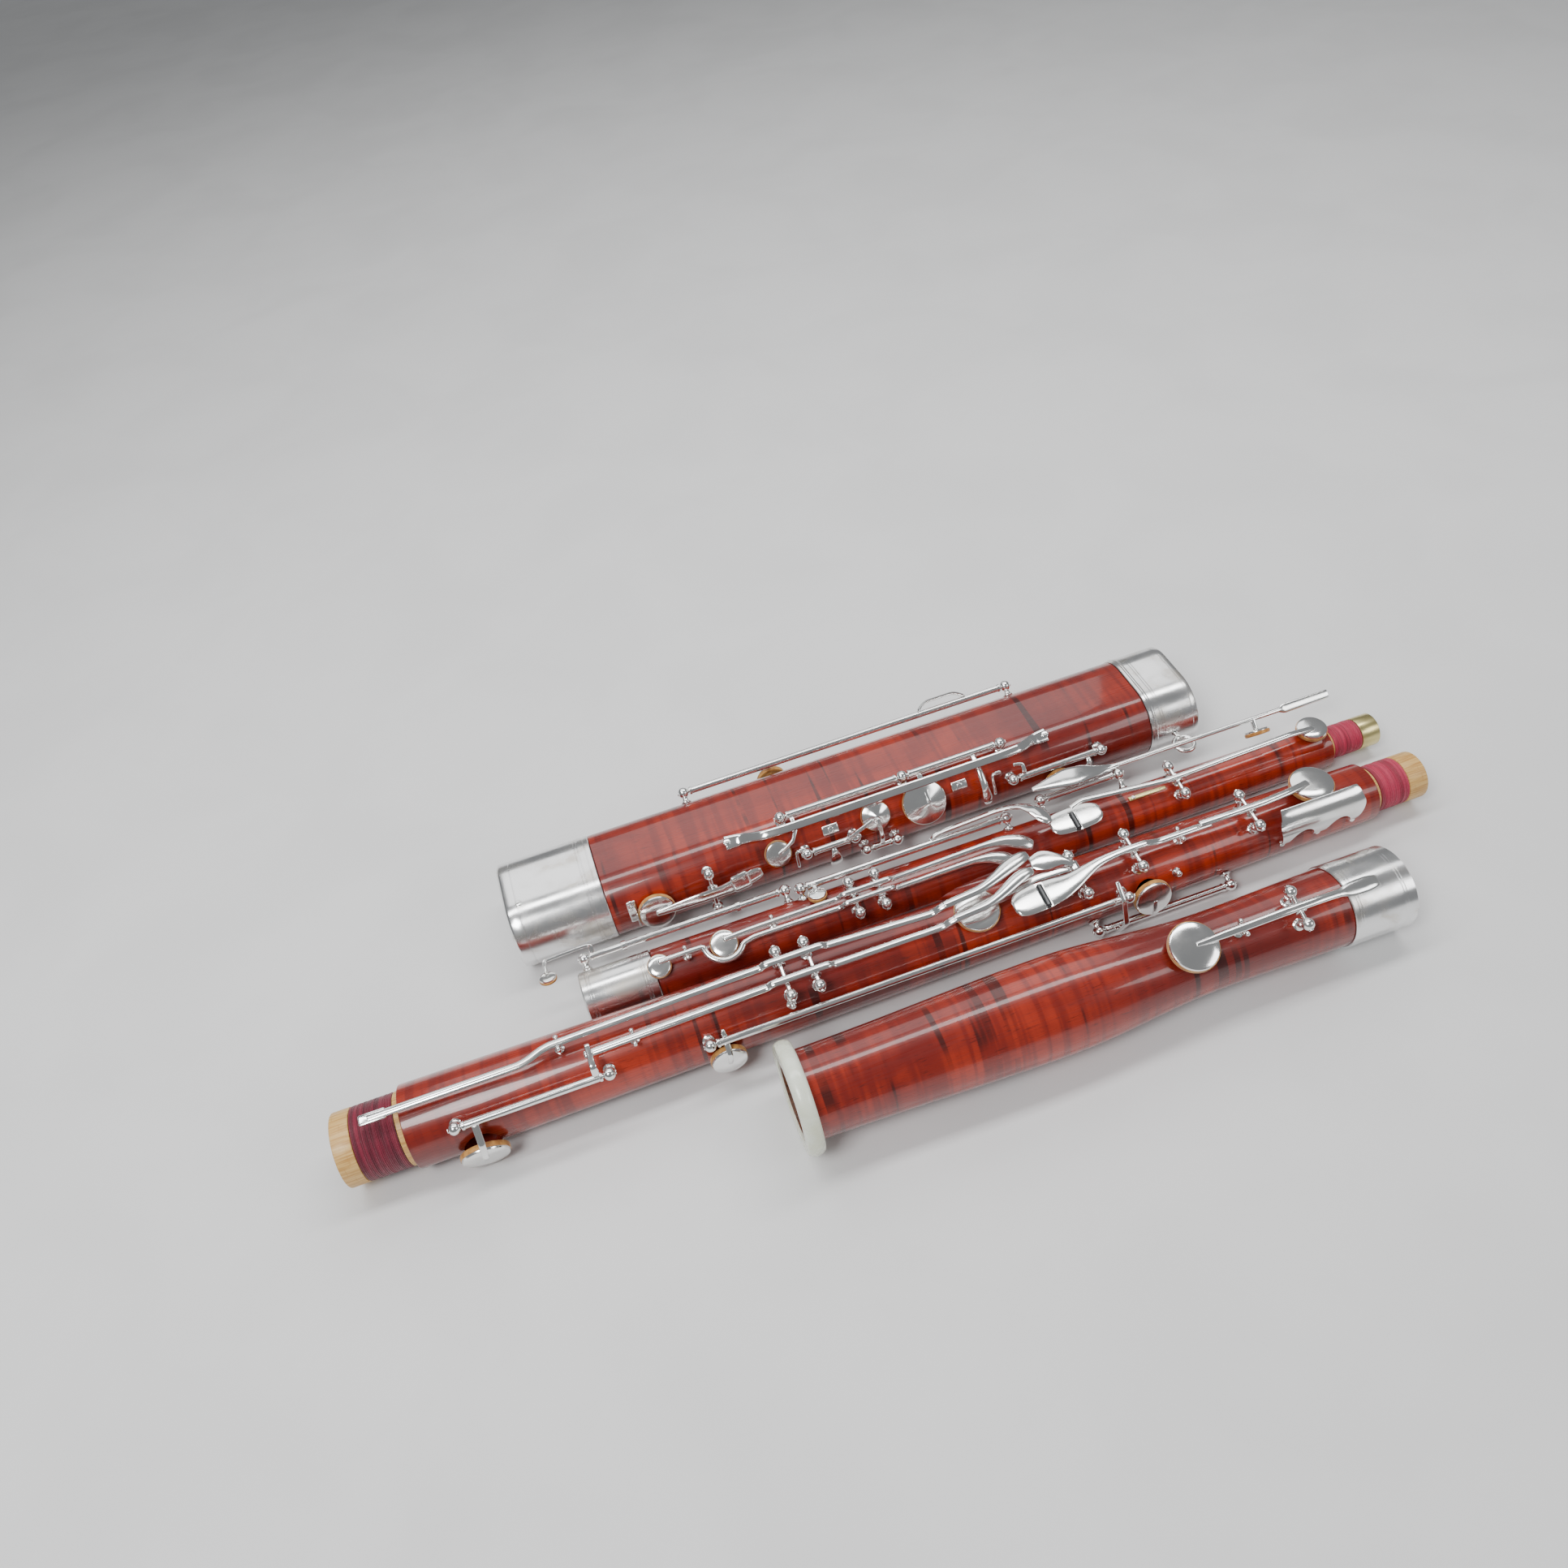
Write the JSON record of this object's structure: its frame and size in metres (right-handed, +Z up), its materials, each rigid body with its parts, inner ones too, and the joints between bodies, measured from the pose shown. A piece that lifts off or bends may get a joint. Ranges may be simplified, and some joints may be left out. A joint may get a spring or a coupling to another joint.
{
  "type": "bassoon",
  "caption": "Bassoon taken apart into boot, wing, long and bell joints, lying side by side, with hinged keys, levers, rods and pad cups.",
  "frame": {"origin": "centre of the footprint, on the surface the four joints lie on", "axes": "+X along the joints towards the tenon ends, +Y to the back, +Z up"},
  "size_m": [0.6392, 0.252, 0.0595],
  "materials": {
    "maple": "gloss",
    "silver": "polished",
    "thread_burgundy": "matt",
    "thread_pink": "matt",
    "brass": "satin",
    "ivory": "satin",
    "nickel": "satin"
  },
  "bodies": {
    "boot_joint": {"boot_b_flat_posts": "silver", "boot_back_posts": "silver", "boot_body": "maple", "boot_bottom_cap": "silver", "boot_cone_posts": "silver", "boot_f_posts": "silver", "boot_guard_rail": "silver", "boot_paddle_posts": "silver", "boot_top_ferrule": "silver", "boot_u_tube": "nickel", "boot_upper_posts": "silver"},
    "wing_joint": {"blade_posts": "silver", "c_sharp_posts": "silver", "whisper_posts": "silver", "wing_a_posts": "silver", "wing_body": "maple", "wing_c_posts": "silver", "wing_roller_posts": "silver", "wing_tenon_tip": "brass", "wing_thread": "thread_pink", "wing_top_ferrule": "silver"},
    "long_joint": {"e_pad_posts": "silver", "leaf_posts": "silver", "long_body": "maple", "long_guard_plate": "silver", "long_lower_thread": "thread_pink", "long_upper_thread": "thread_burgundy", "low_b_cup_posts": "silver", "low_b_flat_posts": "silver", "low_b_posts": "silver", "low_c_posts": "silver", "low_d_posts": "silver", "roller_posts": "silver"},
    "bell_joint": {"bell_body": "maple", "bell_ferrule": "silver", "bell_posts": "silver", "bell_ring": "ivory"},
    "low_b_flat_lever": {"low_b_flat_lever": "silver"},
    "low_b_lever": {"low_b_lever": "silver"},
    "low_b_cup": {"low_b_cup": "silver"},
    "low_c_key": {"low_c_key": "silver"},
    "low_d_key": {"low_d_key": "silver"},
    "roller_lever": {"roller_lever": "silver"},
    "e_pad_lever": {"e_pad_lever": "silver"},
    "leaf_key": {"leaf_key": "silver"},
    "wing_a_key": {"wing_a_key": "silver"},
    "wing_c_key": {"wing_c_key": "silver"},
    "c_sharp_key": {"c_sharp_key": "silver"},
    "whisper_key": {"whisper_key": "silver"},
    "wing_roller_key": {"wing_roller_key": "silver"},
    "blade_key": {"blade_key": "silver"},
    "boot_f_key": {"boot_f_key": "silver"},
    "boot_trill_key": {"boot_trill_key": "silver"},
    "boot_g_key": {"boot_g_key": "silver"},
    "boot_paddle_key": {"boot_paddle_key": "silver"},
    "boot_cone_key": {"boot_cone_key": "silver"},
    "boot_b_flat_key": {"boot_b_flat_key": "silver"},
    "boot_back_key": {"boot_back_key": "silver"},
    "bell_key": {"bell_key": "silver"},
    "lock_ring": {"boot_lock_ring": "silver"}
  },
  "joints": [
    {"name": "wing_lift", "type": "slide", "parent": "boot_joint", "child": "wing_joint", "axis": [0, 0, 1], "range_m": [0, 0.1]},
    {"name": "long_lift", "type": "slide", "parent": "boot_joint", "child": "long_joint", "axis": [0, 0, 1], "range_m": [0, 0.1]},
    {"name": "bell_lift", "type": "slide", "parent": "boot_joint", "child": "bell_joint", "axis": [0, 0, 1], "range_m": [0, 0.1]},
    {"name": "low_b_flat_lever_press", "type": "hinge", "parent": "long_joint", "child": "low_b_flat_lever", "pos_m": [-0.07516, -0.02799, 0.04827], "axis": [0.0018, 0.9833, 0.1822], "range_deg": [0, 0.7], "stiffness_Nm_per_rad": 0.3, "springref_deg": -14.32},
    {"name": "low_b_lever_press", "type": "hinge", "parent": "long_joint", "child": "low_b_lever", "pos_m": [-0.05919, -0.03959, 0.04596], "axis": [0.0018, 0.9833, 0.1822], "range_deg": [0, 0.5], "stiffness_Nm_per_rad": 0.3, "springref_deg": -14.32},
    {"name": "low_b_cup_press", "type": "hinge", "parent": "long_joint", "child": "low_b_cup", "pos_m": [-0.21675, -0.05222, 0.04065], "axis": [1, 0, -0.0098], "range_deg": [0, 5.6]},
    {"name": "low_c_key_press", "type": "hinge", "parent": "long_joint", "child": "low_c_key", "pos_m": [-0.0033, -0.05375, 0.03412], "axis": [1, 0, -0.0098], "range_deg": [0, 9], "stiffness_Nm_per_rad": 0.06, "springref_deg": -17.19},
    {"name": "low_d_key_press", "type": "hinge", "parent": "long_joint", "child": "low_d_key", "pos_m": [0.14146, -0.05336, 0.0092], "axis": [-1, 0, 0.0098], "range_deg": [0, 8], "stiffness_Nm_per_rad": 0.06, "springref_deg": -17.19},
    {"name": "roller_lever_press", "type": "hinge", "parent": "long_joint", "child": "roller_lever", "pos_m": [0.1298, -0.03334, 0.044], "axis": [-0.0014, -0.9903, -0.1392], "range_deg": [0, 2.4], "stiffness_Nm_per_rad": 0.3, "springref_deg": -14.32},
    {"name": "e_pad_lever_press", "type": "hinge", "parent": "long_joint", "child": "e_pad_lever", "pos_m": [0.20179, -0.03325, 0.04265], "axis": [0.0014, 0.9903, 0.1392], "range_deg": [0, 4]},
    {"name": "leaf_key_press", "type": "hinge", "parent": "long_joint", "child": "leaf_key", "pos_m": [0.09579, -0.02975, 0.0428], "axis": [-0.002, -0.9781, -0.2079], "range_deg": [0, 1], "stiffness_Nm_per_rad": 0.3, "springref_deg": -14.32},
    {"name": "wing_a_key_press", "type": "hinge", "parent": "wing_joint", "child": "wing_a_key", "pos_m": [-0.02081, 0.00838, 0.03605], "axis": [0.0021, 0.9304, 0.3665], "range_deg": [0, 1.6], "stiffness_Nm_per_rad": 0.3, "springref_deg": -14.32},
    {"name": "wing_c_key_press", "type": "hinge", "parent": "wing_joint", "child": "wing_c_key", "pos_m": [-0.00502, 0.00336, 0.03398], "axis": [0.0021, 0.9304, 0.3665], "range_deg": [0, 1.6], "stiffness_Nm_per_rad": 0.3, "springref_deg": -14.32},
    {"name": "c_sharp_key_press", "type": "hinge", "parent": "wing_joint", "child": "c_sharp_key", "pos_m": [0.01767, 0.02582, 0.0327], "axis": [1, 0, -0.0056], "range_deg": [0, 4], "stiffness_Nm_per_rad": 0.06, "springref_deg": -17.19},
    {"name": "whisper_key_press", "type": "hinge", "parent": "wing_joint", "child": "whisper_key", "pos_m": [-0.11435, 0.03141, 0.02936], "axis": [1, 0, -0.0056], "range_deg": [0, 8], "stiffness_Nm_per_rad": 0.06, "springref_deg": -17.19},
    {"name": "wing_roller_key_press", "type": "hinge", "parent": "wing_joint", "child": "wing_roller_key", "pos_m": [0.18318, 0.01026, 0.03373], "axis": [-0.001, -0.9848, -0.1736], "range_deg": [0, 2.4], "stiffness_Nm_per_rad": 0.3, "springref_deg": -14.32},
    {"name": "blade_key_press", "type": "hinge", "parent": "wing_joint", "child": "blade_key", "pos_m": [0.13215, 0.03202, 0.02951], "axis": [1, 0, -0.0056], "range_deg": [0, 6], "stiffness_Nm_per_rad": 0.06, "springref_deg": -17.19},
    {"name": "boot_f_key_press", "type": "hinge", "parent": "boot_joint", "child": "boot_f_key", "pos_m": [-0.09294, 0.04531, 0.03286], "axis": [-0.0013, 0.309, 0.9511], "range_deg": [0, 5], "stiffness_Nm_per_rad": 0.3, "springref_deg": -14.32},
    {"name": "boot_trill_key_press", "type": "hinge", "parent": "boot_joint", "child": "boot_trill_key", "pos_m": [-0.00471, 0.06578, 0.0513], "axis": [1, 0, 0.0013], "range_deg": [0, 3], "stiffness_Nm_per_rad": 0.06, "springref_deg": -17.19},
    {"name": "boot_g_key_press", "type": "hinge", "parent": "boot_joint", "child": "boot_g_key", "pos_m": [0.06504, 0.06578, 0.0514], "axis": [1, 0, 0.0013], "range_deg": [0, 5], "stiffness_Nm_per_rad": 0.06, "springref_deg": -17.19},
    {"name": "boot_paddle_key_press", "type": "hinge", "parent": "boot_joint", "child": "boot_paddle_key", "pos_m": [-0.01944, 0.04718, 0.03449], "axis": [1, 0, 0.0013], "range_deg": [0, 7], "stiffness_Nm_per_rad": 0.06, "springref_deg": -17.19},
    {"name": "boot_cone_key_press", "type": "hinge", "parent": "boot_joint", "child": "boot_cone_key", "pos_m": [0.01082, 0.04507, 0.02257], "axis": [-1, 0, -0.0013], "range_deg": [0, 5], "stiffness_Nm_per_rad": 0.06, "springref_deg": -17.19},
    {"name": "boot_b_flat_key_press", "type": "hinge", "parent": "boot_joint", "child": "boot_b_flat_key", "pos_m": [0.12581, 0.04801, 0.03654], "axis": [1, 0, 0.0013], "range_deg": [0, 8], "stiffness_Nm_per_rad": 0.06, "springref_deg": -17.19},
    {"name": "boot_back_key_press", "type": "hinge", "parent": "boot_joint", "child": "boot_back_key", "pos_m": [0.01755, 0.11778, 0.0425], "axis": [-1, 0, -0.0013], "range_deg": [0, 7], "stiffness_Nm_per_rad": 0.06, "springref_deg": -17.19},
    {"name": "bell_key_press", "type": "hinge", "parent": "bell_joint", "child": "bell_key", "pos_m": [0.1821, -0.10647, 0.05221], "axis": [-0.0071, -0.9397, -0.3419], "range_deg": [0, 1.5], "stiffness_Nm_per_rad": 0.3, "springref_deg": -14.32},
    {"name": "lock_turn", "type": "hinge", "parent": "boot_joint", "child": "lock_ring", "pos_m": [0.20757, 0.05046, 0.02427], "axis": [0, -0.9998, 0.0175], "range_deg": [0, 90]}
  ],
  "couplings": [
    {"joint": "low_b_cup_press", "follows": "low_b_lever_press", "ratio": 11},
    {"joint": "e_pad_lever_press", "follows": "roller_lever_press", "ratio": 1.6}
  ]
}
